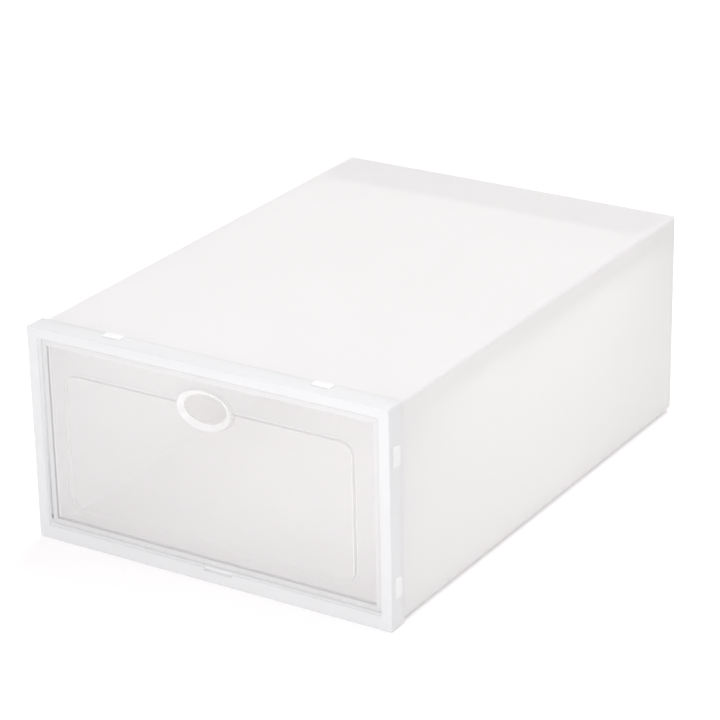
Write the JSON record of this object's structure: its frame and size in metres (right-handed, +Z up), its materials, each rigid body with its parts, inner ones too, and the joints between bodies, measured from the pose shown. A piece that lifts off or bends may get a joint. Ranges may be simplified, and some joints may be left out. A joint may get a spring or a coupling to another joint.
{
  "type": "shoe box",
  "caption": "Folding frosted sheet shoe box with a moulded white front frame, a clear drop-down door with an oval finger hole, and a flap-closed rear end.",
  "frame": {"origin": "on the floor, under the middle of the box", "axes": "+X to the right across the front, +Y from the front door to the rear, +Z up"},
  "size_m": [0.2361, 0.335, 0.1312],
  "materials": {
    "frame_white": "satin moulded polypropylene",
    "door_clear": "clear moulded polypropylene",
    "frosted_sheet": "frosted extruded polypropylene sheet"
  },
  "bodies": {
    "box": {"front_frame": "frame_white", "sleeve": "frosted_sheet"},
    "door": {"door": "door_clear"},
    "rear_panel": {"rear_panel": "frosted_sheet"},
    "rear_tuck_flap": {"rear_tuck_flap": "frosted_sheet"},
    "left_dust_flap": {"left_dust_flap": "frosted_sheet"},
    "right_dust_flap": {"right_dust_flap": "frosted_sheet"}
  },
  "joints": [
    {"name": "door_drop", "type": "hinge", "parent": "box", "child": "door", "pos_m": [0, -0.163, 0.0124], "axis": [1, 0, 0], "range_deg": [0, 90]},
    {"name": "rear_panel_fold", "type": "hinge", "parent": "box", "child": "rear_panel", "pos_m": [0, 0.1675, 0.00175], "axis": [-1, 0, 0], "range_deg": [0, 90]},
    {"name": "rear_tuck_fold", "type": "hinge", "parent": "rear_panel", "child": "rear_tuck_flap", "pos_m": [0, 0.1661, 0.12695], "axis": [1, 0, 0], "range_deg": [0, 90]},
    {"name": "left_dust_fold", "type": "hinge", "parent": "box", "child": "left_dust_flap", "pos_m": [-0.11475, 0.1656, 0.061], "axis": [0, 0, -1], "range_deg": [0, 85]},
    {"name": "right_dust_fold", "type": "hinge", "parent": "box", "child": "right_dust_flap", "pos_m": [0.11475, 0.1656, 0.061], "axis": [0, 0, 1], "range_deg": [0, 85]}
  ],
  "couplings": [
    {"joint": "rear_tuck_fold", "follows": "rear_panel_fold", "ratio": 1}
  ]
}
